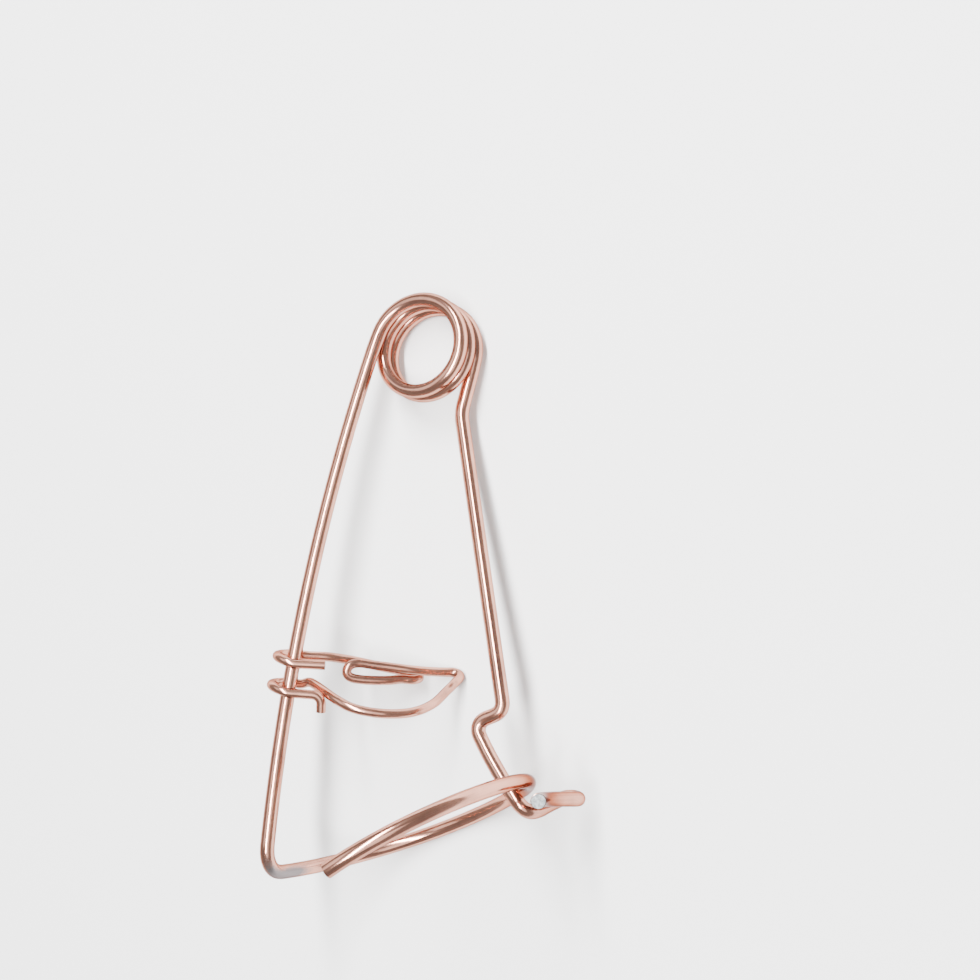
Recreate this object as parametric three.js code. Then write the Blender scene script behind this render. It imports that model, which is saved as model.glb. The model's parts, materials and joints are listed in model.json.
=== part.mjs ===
// A wire mole trap, released and lying on level ground, in millimetres with +Z up. The ring end is
// towards -Y and the coil end towards +Y.
//
// It is made of two bent wires. The stout spring wire starts at a cut end on the ring, runs round
// the ring, up the ring arm, round the coil, down the claw arm, over the catch step and round the
// claw bar to its other cut end. The thin trigger wire hangs on the ring arm by two eyelets. Each
// wire is made in stretches, which meet face to face with a hair of air between them.
//
// The trap's own frame has its origin at the centre of the coil: u points across to the ring arm,
// v from the coil to the ring and w along the coil's axis. Bearings are measured from v towards u.

import * as THREE from 'three';

// Both wires
const springWire = 3.5;
const triggerWire = 2.3;
const stretchGap = 0.3;
const springSides = 10;
const coilSides = 6;
const triggerSides = 8;

// Coil
const coilRadius = 11.5;
const coilTurnGap = 0.45;
const coilTurns = 2.5;
const coilStepsPerTurn = 24;

// Ring arm, bowed evenly from one bearing to the other
const ringArmLength = 131.1;
const ringArmBearing = 14;
const ringArmEndBearing = -2;

// Ring, in a plane turned about w and leaned a little. From the draw's start on it is drawn out
// along its axis, more and more towards its free end.
const ringRadius = 34.8;
const ringPlaneTurn = 24.2;
const ringLean = 3;
const ringSweep = 266;
const ringDrawStart = 113;
const ringDraw = 10.8;
const ringCornerRadius = 6.5;
const cornerHandleShare = 0.56;

// Claw arm
const clawRootLength = 10.1;
const clawRootBearing = 10;
const clawKinkRadius = 9;

// Catch step and the drop below it
const stepBendRadius = 2.6;
const stepMarginShare = 2.2;
const stepLength = 8.4;
const stepBearing = 68;
const dropLength = 26.2;
const dropBearing = -33;
const dropEndBearing = -45;

// Claw bar: an arc that stands beside the ring's far edge, doubled by a hairpin in its far half.
// Angles are measured round the arc from the point that stands furthest towards the ring arm, and
// setbacks from the ring's centre towards the coil. The claw arm is aimed at the place that this
// gives, and is as long as that asks for.
const barRadius = 33;
const barRingGap = 4.2;
const barAxisDepth = 8.5;
const barNearAngle = 28;
const barRootAngle = -6;
const barFarAngle = -16.8;
const barNearSetback = 8.6;
const barRootSetback = 7.7;
const barFarSetback = 10.3;
const barStrandSpacing = 4.1;
const barCornerReach = 6;
const barCornerDrop = 2.2;
const barCornerWidth = 5.1;
const hairpinHandleShare = 2 / 3;

// Trigger: where it hangs, how it is turned and how its two eyelets hold the arm. It slides along
// a straight line, which follows the bowed arm best a little nearer to the coil.
const triggerPlace = 83;
const triggerHang = 31.5;
const slideMiddle = 12;
const eyeletRadius = 4.3;
const eyeletSeatGap = 0.5;
const eyeletSpacing = 7.1;
const eyeletRise = 2.8;
const eyeletReach = 7.8;
const eyeletLift = 1.1;
const stubBendRadius = 2.2;
const stubReach = 8.3;
const stubLift = 0.9;
const stubLength = 4;
const stubSplay = 0.6;
const stubDroop = 1;
const eyeletLead = 2.6;
const nearLeadLift = 0.6;

// The loop's lead back to the lower eyelet passes the cut end's bend: its reach is that bend's reach
// and a clearance, whatever the trigger's reach. It is in shares of that reach, of the trigger's
// half width and of its half depth.
const leadClearance = 4.3;
const leadReach = stubReach + leadClearance;
const leadShares = [
  [1, -0.69, 0.76],
  [0.746, -0.49, 0.38],
  [0.532, -0.30, -0.04],
  [0.352, -0.20, -0.34],
];

// Trigger loop and tongue, as shares of their reach from the arm and of their half width and depth
const triggerReach = 41.4;
const triggerHalfWidth = 6.7;
const triggerHalfDepth = 8;
const tongueShares = [
  [0.185, 0.84, -0.61],
  [0.340, 0.88, -0.82],
  [0.530, 0.85, -0.98],
  [0.665, 0.85, -1.07],
  [0.724, 0.84, -1.09],
  [0.750, 0.72, -0.98],
  [0.718, 0.60, -0.85],
  [0.645, 0.54, -0.77],
  [0.568, 0.40, -0.65],
  [0.410, 0.24, -0.53],
  [0.335, 0.26, -0.47],
  [0.314, 0.40, -0.43],
  [0.318, 0.60, -0.41],
  [0.350, 0.78, -0.45],
];
const loopShares = [
  [0.500, 0.86, -0.56],
  [0.672, 0.92, -0.63],
  [0.788, 0.99, -0.76],
  [0.885, 1.08, -0.90],
  [0.947, 1.14, -0.95],
  [0.985, 1.06, -0.83],
  [0.955, 0.70, -0.46],
  [0.917, 0.37, -0.24],
  [0.850, -0.17, 0.28],
  [0.741, -0.60, 0.71],
  [0.567, -0.85, 1.00],
  [0.396, -0.85, 0.97],
];

// How the trap lies: on its ring and its coil, rolled a little towards the ring arm's side
const restRoll = 4.5;
const restTilt = 11.3;

// Copper plating, a little duller on the trigger wire
const springFinish = { color: 0xc98a6d, roughness: 0.28, metalness: 0.9 };
const triggerFinish = { color: 0xc08468, roughness: 0.32, metalness: 0.9 };

const radians = THREE.MathUtils.degToRad;
const point = (u, v, w) => new THREE.Vector3(u, v, w);
const bearing = (degrees) => point(Math.sin(radians(degrees)), Math.cos(radians(degrees)), 0);
const moved = (from, direction, distance) => from.clone().addScaledVector(direction, distance);

// Points of a run in a plane of constant w, whose bearing turns evenly from one value to another
function bowedRun(start, length, fromBearing, toBearing, steps) {
  const points = [start];
  for (let step = 0; step < steps; step += 1) {
    const middle = fromBearing + (toBearing - fromBearing) * (step + 0.5) / steps;
    points.push(moved(points[step], bearing(middle), length / steps));
  }
  return points;
}

// A polyline whose inner corners are rounded by arcs, each corner with its own radius
function roundedLine(corners, radii, stepsPerBend) {
  const points = [corners[0]];
  for (let index = 1; index < corners.length - 1; index += 1) {
    const before = corners[index].clone().sub(corners[index - 1]).normalize();
    const after = corners[index + 1].clone().sub(corners[index]).normalize();
    const turn = before.angleTo(after);
    const start = moved(corners[index], before, -radii[index - 1] * Math.tan(turn / 2));
    const inward = after.clone().addScaledVector(before, -Math.cos(turn)).normalize();
    for (let step = 0; step <= stepsPerBend; step += 1) {
      const angle = turn * step / stepsPerBend;
      const along = moved(start, before, radii[index - 1] * Math.sin(angle));
      points.push(moved(along, inward, radii[index - 1] * (1 - Math.cos(angle))));
    }
  }
  points.push(corners[corners.length - 1]);
  return points;
}

// A bend between two ends, given each end and its direction of travel
function bendBetween(start, leaving, end, arriving, handle, steps) {
  const first = moved(start, leaving, handle);
  const second = moved(end, arriving, -handle);
  return new THREE.CubicBezierCurve3(start, first, second, end).getPoints(steps);
}

// Joins runs of points end to end, leaving out repeats
function joined(...runs) {
  const points = [];
  for (const candidate of runs.flat()) {
    const last = points[points.length - 1];
    if (!last || last.distanceTo(candidate) > stretchGap) points.push(candidate);
  }
  return points;
}

// The same points with half a stretch gap taken off the start, the end or both
function trimmed(points, atStart, atEnd) {
  const result = points.map((each) => each.clone());
  const last = result.length - 1;
  const forward = result[1].clone().sub(result[0]).normalize();
  const backward = result[last - 1].clone().sub(result[last]).normalize();
  if (atStart) result[0].addScaledVector(forward, stretchGap / 2);
  if (atEnd) result[last].addScaledVector(backward, stretchGap / 2);
  return result;
}

// The direction of travel at each point of a centreline
function directions(points) {
  return points.map((each, index) => {
    const before = points[Math.max(index - 1, 0)];
    const after = points[Math.min(index + 1, points.length - 1)];
    return after.clone().sub(before).normalize();
  });
}

// A closed round wire along a centreline, its flat ends square to it. The section is carried from
// point to point without twisting.
function wireAlong(points, diameter, sides) {
  const travel = directions(points);
  const helper = Math.abs(travel[0].z) < 0.9 ? point(0, 0, 1) : point(1, 0, 0);
  const across = helper.cross(travel[0]).normalize();
  const positions = [];
  points.forEach((centre, index) => {
    if (index > 0) across.addScaledVector(travel[index], -across.dot(travel[index])).normalize();
    const upright = travel[index].clone().cross(across);
    for (let side = 0; side < sides; side += 1) {
      const angle = 2 * Math.PI * side / sides;
      const rim = moved(centre, across, Math.cos(angle) * diameter / 2);
      rim.addScaledVector(upright, Math.sin(angle) * diameter / 2);
      positions.push(...rim.toArray());
    }
  });
  const indices = [];
  for (let ring = 0; ring < points.length - 1; ring += 1) {
    for (let side = 0; side < sides; side += 1) {
      const here = ring * sides + side;
      const next = ring * sides + (side + 1) % sides;
      indices.push(here, next, next + sides, here, next + sides, here + sides);
    }
  }
  const lastRing = (points.length - 1) * sides;
  for (let side = 1; side < sides - 1; side += 1) {
    indices.push(0, side + 1, side);
    indices.push(lastRing, lastRing + side, lastRing + side + 1);
  }
  const geometry = new THREE.BufferGeometry();
  geometry.setAttribute('position', new THREE.Float32BufferAttribute(positions, 3));
  geometry.setIndex(indices);
  geometry.computeVertexNormals();
  return geometry;
}

function wireMesh(name, points, diameter, sides, finish) {
  const mesh = new THREE.Mesh(wireAlong(points, diameter, sides), new THREE.MeshStandardMaterial(finish));
  mesh.name = name;
  return mesh;
}

// Coil: starts where the ring arm leaves it, passes over the top and ends at the claw arm
const coilPitch = springWire + coilTurnGap;
const coilStart = radians(ringArmBearing);
const coilEnd = radians(180 + 360 * Math.floor(coilTurns) + clawRootBearing);
const coilNear = coilPitch * coilTurns / 2;
function coilPoint(angle) {
  const share = (angle - coilStart) / (coilEnd - coilStart);
  const axisPlace = coilNear * (1 - 2 * share);
  return point(coilRadius * Math.cos(angle), -coilRadius * Math.sin(angle), axisPlace);
}

// The coil's ends run straight for one wire, still climbing, before each arm sets off
const leadClimb = coilPitch * springWire / (2 * Math.PI * coilRadius);
const armRoot = moved(coilPoint(coilStart), bearing(ringArmBearing), springWire);
armRoot.z += leadClimb;
const clawRoot = moved(coilPoint(coilEnd), bearing(clawRootBearing), springWire);
clawRoot.z -= leadClimb;
function coilRun() {
  const turns = (coilEnd - coilStart) / (2 * Math.PI);
  const steps = Math.round(turns * coilStepsPerTurn);
  const points = [armRoot];
  for (let step = 0; step <= steps; step += 1) {
    points.push(coilPoint(coilStart + (coilEnd - coilStart) * step / steps));
  }
  points.push(clawRoot);
  return points;
}

// The least air between turns, measured on pairs of points more than half a turn apart
function leastTurnGap(points) {
  let least = Infinity;
  for (let first = 0; first < points.length; first += 1) {
    for (let second = first + coilStepsPerTurn / 2; second < points.length; second += 1) {
      least = Math.min(least, points[first].distanceTo(points[second]) - springWire);
    }
  }
  return least;
}

// Ring arm, from the end of the coil's straight lead to the ring's corner
const armSteps = 18;
const ringCorner = bowedRun(armRoot, ringArmLength, ringArmBearing, ringArmEndBearing, armSteps)[armSteps];
const bowPerLength = (ringArmEndBearing - ringArmBearing) / ringArmLength;
function ringArmRun() {
  const length = ringArmLength - ringCornerRadius;
  return bowedRun(armRoot, length, ringArmBearing, ringArmBearing + bowPerLength * length, armSteps);
}

// Ring: angle 0 is the corner, and the wire first runs away from the viewer's side
const ringSide = point(Math.cos(radians(ringPlaneTurn)), Math.sin(radians(ringPlaneTurn)), 0);
const ringAxis = point(-Math.sin(radians(ringPlaneTurn)), Math.cos(radians(ringPlaneTurn)), 0);
const ringFront = ringAxis.clone().multiplyScalar(Math.sin(radians(ringLean)));
ringFront.z = Math.cos(radians(ringLean));
ringAxis.multiplyScalar(Math.cos(radians(ringLean)));
ringAxis.z = -Math.sin(radians(ringLean));
const ringCentre = moved(ringCorner, ringSide, -ringRadius);
function ringPoint(degrees) {
  const angle = radians(degrees);
  const place = moved(ringCentre, ringSide, ringRadius * Math.cos(angle));
  place.addScaledVector(ringFront, -ringRadius * Math.sin(angle));
  const drawnShare = Math.max(0, degrees - ringDrawStart) / (ringSweep - ringDrawStart);
  return place.addScaledVector(ringAxis, ringDraw * drawnShare ** 2);
}
function ringRun() {
  const firstDegrees = THREE.MathUtils.radToDeg(ringCornerRadius / ringRadius);
  const steps = 48;
  const arc = [];
  for (let step = 0; step <= steps; step += 1) {
    arc.push(ringPoint(firstDegrees + (ringSweep - firstDegrees) * step / steps));
  }
  const armRunPoints = ringArmRun();
  const armEnd = armRunPoints[armSteps];
  const leaving = arc[0].clone().sub(arc[1]).normalize();
  const toArm = armRunPoints[armSteps - 1].clone().sub(armEnd).normalize();
  const bendHandle = ringCornerRadius * cornerHandleShare;
  const corner = bendBetween(arc[0], leaving, armEnd, toArm, bendHandle, 6);
  return joined([...arc].reverse(), corner);
}

// Claw arm, catch step and drop: one line of rounded corners
const barSide = ringRadius * ringSide.x - ringCentre.x + barRingGap;
const barInnerRadius = barRadius + barStrandSpacing;
const barRootSide = barInnerRadius * Math.cos(radians(barRootAngle)) - barRadius - barSide;
const barRootPlace = ringCentre.y - barRootSetback;
const clawKink = moved(clawRoot, bearing(clawRootBearing), clawRootLength);
const dropSteps = 8;
const dropBreak = 6;
const stepShift = bearing(stepBearing).multiplyScalar(stepLength);
const dropShift = bowedRun(stepShift, dropLength, dropBearing, dropEndBearing, dropSteps)[dropBreak];
const dropEnd = point(barRootSide + barCornerWidth, barRootPlace - barCornerDrop, clawRoot.z);
const stepTop = dropEnd.clone().sub(dropShift);
const clawTravel = stepTop.clone().sub(clawKink).normalize();
const stepFoot = stepTop.clone().add(stepShift);
const stepMargin = stepBendRadius * stepMarginShare;
const drop = bowedRun(stepFoot, dropLength, dropBearing, dropEndBearing, dropSteps);
function clawArmRun() {
  const end = moved(stepTop, clawTravel, -stepMargin);
  return roundedLine([clawRoot, clawKink, end], [clawKinkRadius], 6);
}
function catchStepRun() {
  const start = moved(stepTop, clawTravel, -stepMargin);
  const bends = roundedLine([start, stepTop, stepFoot, drop[2]], [stepBendRadius, stepBendRadius], 6);
  return joined(bends, drop.slice(3, dropBreak + 1));
}

// One strand of the claw bar, at a radius of its own about the bar's centre of curvature
function barStrand(radius, fromAngle, toAngle, fromPlace, toPlace, steps) {
  const points = [];
  for (let step = 0; step <= steps; step += 1) {
    const share = step / steps;
    const angle = radians(THREE.MathUtils.lerp(fromAngle, toAngle, share));
    const side = radius * Math.cos(angle) - barRadius - barSide;
    const along = THREE.MathUtils.lerp(fromPlace, toPlace, share);
    points.push(point(side, along, radius * Math.sin(angle) - barAxisDepth));
  }
  return points;
}

// Claw bar: round the corner below the drop, out to the hairpin, and back past the drop
function clawBarRun() {
  const farPlace = ringCentre.y - barFarSetback;
  const nearPlace = ringCentre.y - barNearSetback;
  const inner = barStrand(barInnerRadius, barRootAngle, barFarAngle, barRootPlace, farPlace, 5);
  const outer = barStrand(barRadius, barFarAngle, barNearAngle, farPlace, nearPlace, 16);
  const innerTravel = directions(inner);
  const dropTravel = dropEnd.clone().sub(drop[dropBreak - 1]).normalize();
  const corner = bendBetween(dropEnd, dropTravel, inner[0], innerTravel[0], barCornerReach, 9);
  const hairpinHandle = barStrandSpacing * hairpinHandleShare;
  const hairpin = bendBetween(inner[5], innerTravel[5], outer[0], directions(outer)[0], hairpinHandle, 9);
  return joined(corner, inner, hairpin, outer);
}

// Trigger, in its own frame: x outward from the arm, y towards the coil, z towards the viewer. One
// smooth route runs from behind the upper eyelet round the tongue and the loop to the lower eyelet.
const upperFront = (eyeletSpacing - eyeletRise) / 2;
const upperBack = (eyeletSpacing + eyeletRise) / 2;
const placesFrom = (shares, reach) => (
  shares.map(([x, y, z]) => point(x * reach, y * triggerHalfWidth, z * triggerHalfDepth))
);
const triggerControls = [
  point(0, upperBack, -eyeletRadius),
  point(eyeletLead, upperBack, -eyeletRadius),
  ...placesFrom(tongueShares, triggerReach),
  ...placesFrom(loopShares, triggerReach),
  ...placesFrom(leadShares, leadReach),
  point(eyeletLead, -upperFront, nearLeadLift - eyeletRadius),
  point(0, -upperFront, -eyeletRadius),
];
const triggerRoute = new THREE.CatmullRomCurve3(triggerControls, false, 'centripetal');
const lastControl = triggerControls.length - 1;
const loopControl = tongueShares.length + 1;
const triggerSteps = 5;
function triggerStretch(fromControl, toControl) {
  const points = [];
  const steps = (toControl - fromControl) * triggerSteps;
  for (let step = 0; step <= steps; step += 1) {
    points.push(triggerRoute.getPoint((fromControl + step / triggerSteps) / lastControl));
  }
  return points;
}

// Half a turn round the arm, from its front, past its outer side, to its back
function eyeletTurn(frontPlace, backPlace) {
  const points = [];
  const steps = 10;
  for (let step = 0; step <= steps; step += 1) {
    const angle = Math.PI * step / steps;
    const place = THREE.MathUtils.lerp(frontPlace, backPlace, step / steps);
    points.push(point(-eyeletRadius * Math.sin(angle), place, eyeletRadius * Math.cos(angle)));
  }
  return points;
}
function upperEyeletRun() {
  const cutEnd = point(eyeletReach, upperFront + eyeletLift, eyeletRadius);
  return joined([cutEnd], eyeletTurn(upperFront, upperBack), triggerStretch(0, 1));
}
function lowerEyeletRun() {
  const turn = eyeletTurn(-upperBack, -upperFront).reverse();
  const stubPlace = stubLift - upperBack;
  const stubCorner = point(stubReach, stubPlace, eyeletRadius);
  const stubEnd = point(stubReach + stubSplay, stubPlace - stubLength, eyeletRadius - stubDroop);
  const stub = roundedLine([turn[turn.length - 1], stubCorner, stubEnd], [stubBendRadius], 6);
  return joined(triggerStretch(lastControl - 1, lastControl), turn, stub);
}

// Frame wire, moving claw and trigger, each a group of its own in the trap's frame
const coil = coilRun();
console.log(`spring_coil: least gap between turns ${leastTurnGap(coil).toFixed(2)} mm`);
const springPart = (name, run, sides) => wireMesh(name, run, springWire, sides, springFinish);
const frameWire = new THREE.Group();
frameWire.add(
  springPart('trap_ring', trimmed(ringRun(), false, true), springSides),
  springPart('ring_arm', trimmed(ringArmRun(), true, true), springSides),
  springPart('spring_coil', trimmed(coil, true, true), coilSides),
);
const claw = new THREE.Group();
claw.add(
  springPart('claw_arm', trimmed(clawArmRun(), true, true), springSides),
  springPart('catch_step', trimmed(catchStepRun(), true, true), springSides),
  springPart('claw_bar', trimmed(clawBarRun(), true, false), springSides),
);
const triggerPart = (name, run) => wireMesh(name, run, triggerWire, triggerSides, triggerFinish);
const trigger = new THREE.Group();
trigger.add(
  triggerPart('upper_eyelet', trimmed(upperEyeletRun(), false, true)),
  triggerPart('trigger_tongue', trimmed(triggerStretch(1, loopControl), true, true)),
  triggerPart('trigger_loop', trimmed(triggerStretch(loopControl, lastControl - 1), true, true)),
  triggerPart('lower_eyelet', trimmed(lowerEyeletRun(), true, false)),
);

// The trigger hangs on the arm, its front strands seated on the wire
const placeBearing = ringArmBearing + bowPerLength * triggerPlace;
const slideBearing = placeBearing - bowPerLength * slideMiddle;
const triggerSeat = bowedRun(armRoot, triggerPlace, ringArmBearing, placeBearing, armSteps)[armSteps];
const towardsCoil = bearing(slideBearing).negate();
const hang = radians(triggerHang);
const outward = point(-Math.cos(hang), 0, -Math.sin(hang));
outward.addScaledVector(towardsCoil, -outward.dot(towardsCoil)).normalize();
const frontward = outward.clone().cross(towardsCoil);
const seatDrop = eyeletRadius - (springWire + triggerWire) / 2 - eyeletSeatGap;
const triggerMatrix = new THREE.Matrix4().makeBasis(outward, towardsCoil, frontward);
trigger.quaternion.setFromRotationMatrix(triggerMatrix);
trigger.position.copy(moved(triggerSeat, frontward, -seatDrop));

// The trap as it lies, its coil axis leaning over the claw arm's side
const leaning = point(-Math.tan(radians(restRoll)), Math.tan(radians(restTilt)), 1).normalize();
const ringward = point(0, -1, 0);
ringward.addScaledVector(leaning, -ringward.dot(leaning)).normalize();
const sideways = ringward.clone().cross(leaning);
const trap = new THREE.Group();
trap.quaternion.setFromRotationMatrix(new THREE.Matrix4().makeBasis(sideways, ringward, leaning));
trap.add(frameWire, claw, trigger);

// The origin is at the middle of the base
const part = new THREE.Group();
part.add(trap);
part.updateMatrixWorld(true);
const extent = new THREE.Box3().setFromObject(part, true);
trap.position.set(-(extent.min.x + extent.max.x) / 2, -(extent.min.y + extent.max.y) / 2, -extent.min.z);

export default part;
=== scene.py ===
import json
import math
from itertools import accumulate

import bpy
import numpy as np
from bpy.props import FloatProperty, FloatVectorProperty, IntProperty, PointerProperty
from bpy.types import Operator, Panel, PropertyGroup
from mathutils import Matrix


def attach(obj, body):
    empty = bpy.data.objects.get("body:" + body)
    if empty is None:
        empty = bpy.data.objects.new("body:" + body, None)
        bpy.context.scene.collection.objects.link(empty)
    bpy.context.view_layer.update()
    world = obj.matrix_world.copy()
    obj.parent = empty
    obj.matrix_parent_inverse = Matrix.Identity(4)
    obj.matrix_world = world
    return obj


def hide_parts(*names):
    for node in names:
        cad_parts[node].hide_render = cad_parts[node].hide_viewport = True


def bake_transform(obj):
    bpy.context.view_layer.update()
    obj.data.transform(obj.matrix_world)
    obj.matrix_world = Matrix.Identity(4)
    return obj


bl_info = {
    "name": "Wire mole trap",
    "version": (1, 0, 0),
    "blender": (4, 5, 0),
    "location": "3D View > Sidebar > Mole trap",
    "description": "Builds a wire mole trap from two bent, copper-plated wires",
    "category": "Add Mesh",
}

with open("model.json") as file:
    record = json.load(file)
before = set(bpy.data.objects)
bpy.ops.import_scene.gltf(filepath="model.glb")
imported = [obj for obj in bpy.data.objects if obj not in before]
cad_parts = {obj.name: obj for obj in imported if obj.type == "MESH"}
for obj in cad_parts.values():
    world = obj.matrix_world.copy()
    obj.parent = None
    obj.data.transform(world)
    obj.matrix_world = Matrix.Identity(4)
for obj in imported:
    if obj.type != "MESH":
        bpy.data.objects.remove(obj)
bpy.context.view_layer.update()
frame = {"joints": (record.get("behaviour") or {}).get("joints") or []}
joints = {joint["name"]: joint for joint in frame["joints"]}


# The trap's own frame: u points across to the ring arm, v from the coil to the ring and w along
# the coil's axis. Its origin is the centre of the coil, where the claw's hinge is. The trap rests
# rolled and tilted by these degrees.

REST_ROLL = 4.5
REST_TILT = 11.3


def unit(vector):
    """The vector, or each row of an array, divided by its length."""
    vector = np.asarray(vector, float)
    return vector / np.linalg.norm(vector, axis=-1, keepdims=True)


def trap_axes():
    """Images of u, v and w: w leans by the roll and the tilt, v is level but for that, u is v x w."""
    leaning = unit([-math.tan(math.radians(REST_ROLL)), math.tan(math.radians(REST_TILT)), 1])
    ringward = np.array([0.0, -1.0, 0.0])
    ringward = unit(ringward - ringward.dot(leaning) * leaning)
    return np.stack([np.cross(ringward, leaning), ringward, leaning])


TRAP_AXES = trap_axes()
COIL_CENTRE = np.array(joints["claw_squeeze"]["pos_m"])
MILLIMETRE = 0.001


def placed(points):
    """Rows of (u, v, w) in millimetres, as metres in the scene: the coil's centre plus each times its
    axis."""
    return COIL_CENTRE + MILLIMETRE * np.asarray(points, float) @ TRAP_AXES


def bearing(degrees):
    """A direction in the plane of the arms, measured from v towards u."""
    angle = np.radians(degrees)
    return np.stack([np.sin(angle), np.cos(angle), 0 * angle], axis=-1)


# Runs of centreline, in millimetres in the trap's own frame. Each is worked out in so many steps,
# and the whole wire is spaced evenly afterwards.

RING_POINTS = 200
ARM_STEPS = 120
COIL_POINTS = 360
CORNER_STEPS = 60
ROUNDING_STEPS = 24
BEND_STEPS = 30
CURVE_STEPS = 16
DROP_STEPS = 30
STEP_BEND_ROWS = 12
INNER_STRAND_STEPS = 20
OUTER_STRAND_STEPS = 80
EYELET_POINTS = 49
SEAT_STEPS = 18
SAME_PLACE = 1e-6


def bowed_run(start, length, from_bearing, to_bearing, steps):
    """start plus the running sum of length / steps times the bearing at each step's middle."""
    middles = from_bearing + (to_bearing - from_bearing) * (np.arange(steps) + 0.5) / steps
    return np.vstack([start, start + np.cumsum(bearing(middles) * length / steps, axis=0)])


def rounded_line(corners, radii):
    """A polyline whose inner corners are arcs: tangent point + r sin(a) before + r (1 - cos(a)) inward."""
    pieces = [np.array([corners[0]])]
    for before_point, corner, after_point, radius in zip(corners, corners[1:], corners[2:], radii):
        before, after = unit(corner - before_point), unit(after_point - corner)
        turn = math.acos(before.dot(after))
        start = corner - before * radius * math.tan(turn / 2)
        inward = unit(after - before * before.dot(after))
        angle = np.linspace(0, turn, ROUNDING_STEPS + 1)[:, None]
        pieces.append(start + before * radius * np.sin(angle) + inward * radius * (1 - np.cos(angle)))
    return np.vstack([*pieces, [corners[-1]]])


def bend_between(start, leaving, end, arriving, handle):
    """The cubic Bezier curve from start to end whose handles lie along the two directions of travel."""
    share = np.linspace(0, 1, BEND_STEPS + 1)[:, None]
    rest = 1 - share
    first, second = start + leaving * handle, end - arriving * handle
    return (rest ** 3 * start + 3 * rest ** 2 * share * first
            + 3 * rest * share ** 2 * second + share ** 3 * end)


def smooth_route(controls):
    """A centripetal Catmull-Rom curve through the controls: between neighbours a Hermite cubic whose
    end slopes weigh the three chords by the square roots of their lengths."""
    padded = np.vstack([2 * controls[0] - controls[1], controls, 2 * controls[-1] - controls[-2]])
    span = np.sqrt(np.linalg.norm(np.diff(padded, axis=0), axis=1))[:, None]
    p0, p1, p2, p3 = padded[:-3], padded[1:-2], padded[2:-1], padded[3:]
    d0, d1, d2 = span[:-2], span[1:-1], span[2:]
    slope1 = ((p1 - p0) / d0 - (p2 - p0) / (d0 + d1) + (p2 - p1) / d1) * d1
    slope2 = ((p2 - p1) / d1 - (p3 - p1) / (d1 + d2) + (p3 - p2) / d2) * d1
    share = (np.arange(CURVE_STEPS) / CURVE_STEPS)[None, :, None]
    p1, p2, slope1, slope2 = (each[:, None, :] for each in (p1, p2, slope1, slope2))
    curve = (p1 + slope1 * share + (3 * (p2 - p1) - 2 * slope1 - slope2) * share ** 2
             + (2 * (p1 - p2) + slope1 + slope2) * share ** 3)
    return np.vstack([curve.reshape(-1, 3), controls[-1:]])


def evenly_spaced(points, spacing, softness):
    """The run resampled every spacing along its length, then averaged over softness either side so
    that the bends join without a crease. Its two ends keep their places."""
    keep = np.r_[True, np.linalg.norm(np.diff(points, axis=0), axis=1) > SAME_PLACE]
    points = points[keep]
    along = np.r_[0, np.cumsum(np.linalg.norm(np.diff(points, axis=0), axis=1))]
    count = int(round(along[-1] / spacing)) + 1
    stations = np.linspace(0, along[-1], count)
    even = np.stack([np.interp(stations, along, points[:, axis]) for axis in range(3)], axis=1)
    reach = int(round(softness / spacing))
    window = np.hanning(2 * reach + 3)[1:-1]
    window = window / window.sum()
    before = 2 * even[0] - even[1:reach + 1][::-1]
    after = 2 * even[-1] - even[-reach - 1:-1][::-1]
    long = np.vstack([before, even, after])
    soft = np.stack([np.convolve(long[:, axis], window, "valid") for axis in range(3)], axis=1)
    return soft, stations


# Spring wire: ring, ring arm, coil, claw arm, catch step and claw bar, from one cut end to the
# other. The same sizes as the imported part's, in millimetres and degrees.

SPRING_WIRE = 3.5
TRIGGER_WIRE = 2.3

COIL_RADIUS = 11.5
COIL_AIR = 0.45
COIL_PITCH = SPRING_WIRE + COIL_AIR
COIL_TURNS = 2.5

ARM_LENGTH = 131.1
ARM_BEARING = 14.0
ARM_END_BEARING = -2.0

RING_RADIUS = 34.8
RING_TURN = 24.2
RING_LEAN = 3.0
RING_SWEEP = 266.0
RING_DRAW_START = 113.0
RING_DRAW = 10.8
RING_CORNER_RADIUS = 6.5

CLAW_ROOT_LENGTH = 10.1
CLAW_ROOT_BEARING = 10.0
CLAW_KINK_RADIUS = 9.0
STEP_BEND_RADIUS = 2.6
STEP_LENGTH = 8.4
STEP_BEARING = 68.0
DROP_LENGTH = 26.2
DROP_BEARING = -33.0
DROP_END_BEARING = -45.0
DROP_SHARE = 0.75

BAR_RADIUS = 33.0
BAR_RING_GAP = 4.2
BAR_AXIS_DEPTH = 8.5
BAR_NEAR_ANGLE = 28.0
BAR_ROOT_ANGLE = -6.0
BAR_FAR_ANGLE = -16.8
BAR_NEAR_SETBACK = 8.6
BAR_ROOT_SETBACK = 7.7
BAR_FAR_SETBACK = 10.3
BAR_STRAND_SPACING = 4.1
BAR_CORNER_REACH = 6.0
BAR_CORNER_DROP = 2.2
BAR_CORNER_WIDTH = 5.1

# How far the handles of a cubic reach where it follows a quarter circle, as a share of its radius,
# and where it follows half a circle, as a share of the distance across.
QUARTER_HANDLE = 0.56
HALF_HANDLE = 2 / 3

coil_start = math.radians(ARM_BEARING)
coil_end = math.radians(180 + 360 * math.floor(COIL_TURNS) + CLAW_ROOT_BEARING)
coil_half_height = COIL_PITCH * COIL_TURNS / 2


def coil_points(angle):
    """R cos(a) across, -R sin(a) along and a height that falls evenly from one end to the other."""
    share = (angle - coil_start) / (coil_end - coil_start)
    return np.stack([COIL_RADIUS * np.cos(angle), -COIL_RADIUS * np.sin(angle),
                     coil_half_height * (1 - 2 * share)], axis=-1)


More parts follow.
